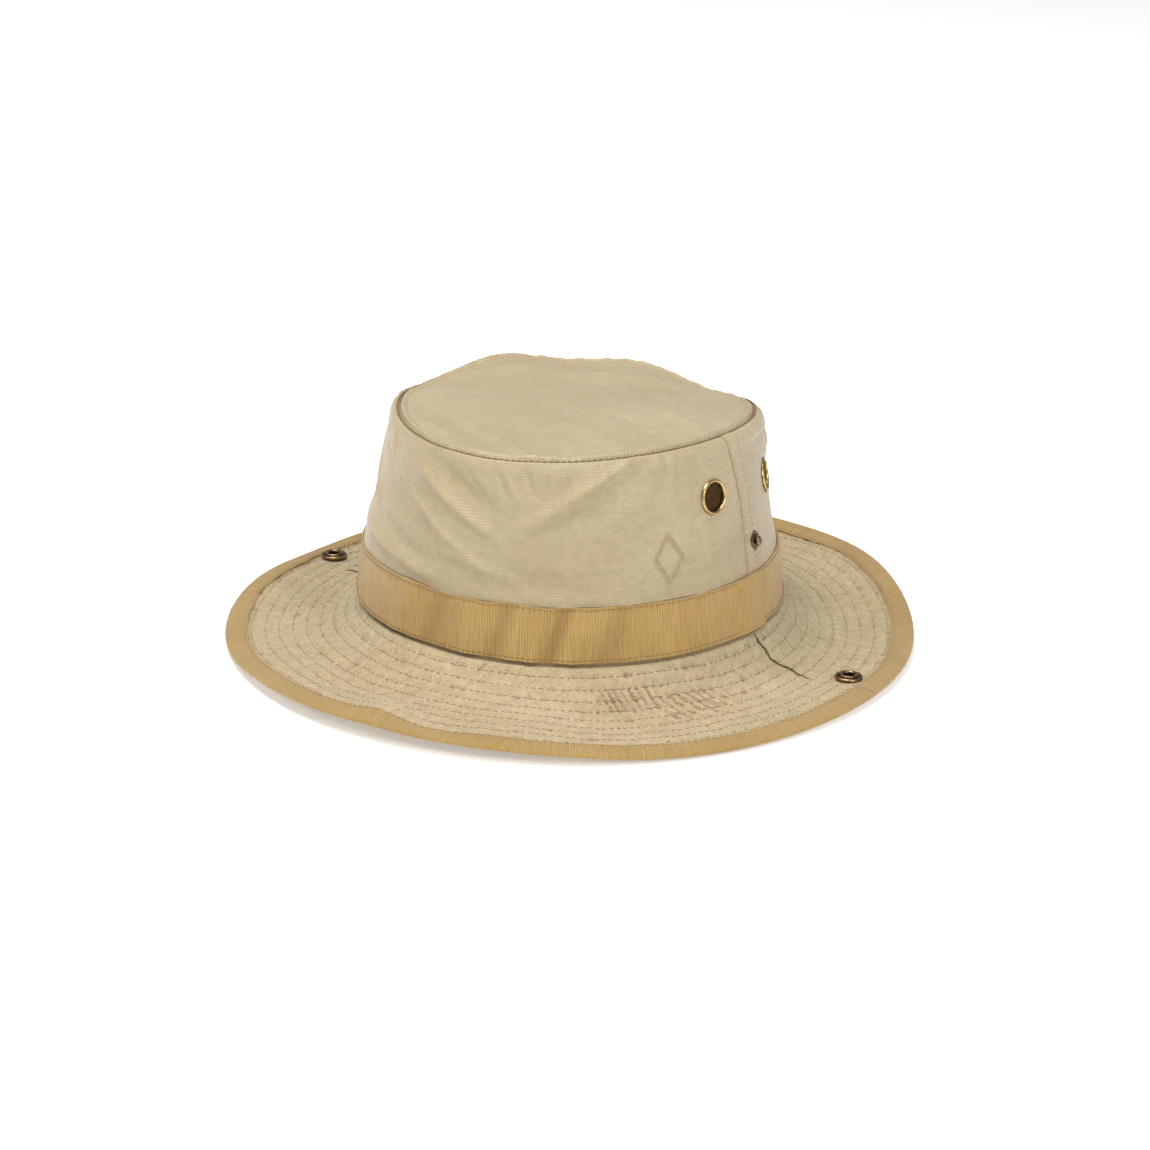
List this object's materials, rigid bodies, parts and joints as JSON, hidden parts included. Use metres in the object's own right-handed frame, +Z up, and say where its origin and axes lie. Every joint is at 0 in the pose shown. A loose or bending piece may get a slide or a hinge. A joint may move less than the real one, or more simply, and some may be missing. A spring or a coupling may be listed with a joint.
{
  "type": "boonie hat",
  "caption": "Soft bucket-crowned sun hat with a ribbon band, screened vents, an inner sweatband and a bound brim whose sides fold up and snap to the crown.",
  "frame": {"origin": "on the ground under the middle of the crown, with the hat standing on its brim", "axes": "+Z up, front of the hat towards -Y, wearer's left towards +X"},
  "size_m": [0.3042, 0.3187, 0.1083],
  "materials": {
    "shell_cloth": "light khaki ripstop with a soft sheen",
    "grosgrain": "camel ribbed ribbon, matt",
    "sweatband_cloth": "soft matt knit",
    "interlining": "stiff matt felt",
    "label_cloth": "matt woven tape",
    "brass": "antique, darkened in its recesses",
    "vent_mesh": "dark fine wire mesh"
  },
  "bodies": {
    "hat_body": {"crown_tip": "shell_cloth", "crown_wall_front": "shell_cloth", "crown_wall_rear": "shell_cloth", "hat_band": "grosgrain", "sweatband": "sweatband_cloth", "size_label": "label_cloth", "brim_upper_front": "shell_cloth", "brim_upper_rear": "shell_cloth", "brim_interlining_front": "interlining", "brim_interlining_rear": "interlining", "brim_under_front": "shell_cloth", "brim_under_rear": "shell_cloth", "brim_binding_front": "grosgrain", "brim_binding_rear": "grosgrain", "vent_left_front_eyelet": "brass", "vent_left_front_washer": "brass", "vent_left_front_screen": "vent_mesh", "vent_left_rear_eyelet": "brass", "vent_left_rear_washer": "brass", "vent_left_rear_screen": "vent_mesh", "vent_right_front_eyelet": "brass", "vent_right_front_washer": "brass", "vent_right_front_screen": "vent_mesh", "vent_right_rear_eyelet": "brass", "vent_right_rear_washer": "brass", "vent_right_rear_screen": "vent_mesh", "crown_snap_left_stud": "brass", "crown_snap_left_post": "brass", "crown_snap_right_stud": "brass", "crown_snap_right_post": "brass"},
    "left_brim_side": {"brim_upper_left_flap": "shell_cloth", "brim_interlining_left_flap": "interlining", "brim_under_left_flap": "shell_cloth", "brim_binding_left_flap": "grosgrain", "brim_snap_left_socket": "brass", "brim_snap_left_cap": "brass"},
    "right_brim_side": {"brim_upper_right_flap": "shell_cloth", "brim_interlining_right_flap": "interlining", "brim_under_right_flap": "shell_cloth", "brim_binding_right_flap": "grosgrain", "brim_snap_right_socket": "brass", "brim_snap_right_cap": "brass"}
  },
  "joints": [
    {"name": "left_brim_fold", "type": "hinge", "parent": "hat_body", "child": "left_brim_side", "pos_m": [0.0894, 0.008, 0.0124], "axis": [0, -1, 0], "range_deg": [0, 98.5]},
    {"name": "right_brim_fold", "type": "hinge", "parent": "hat_body", "child": "right_brim_side", "pos_m": [-0.0894, 0.008, 0.0124], "axis": [0, 1, 0], "range_deg": [0, 98.5]}
  ]
}
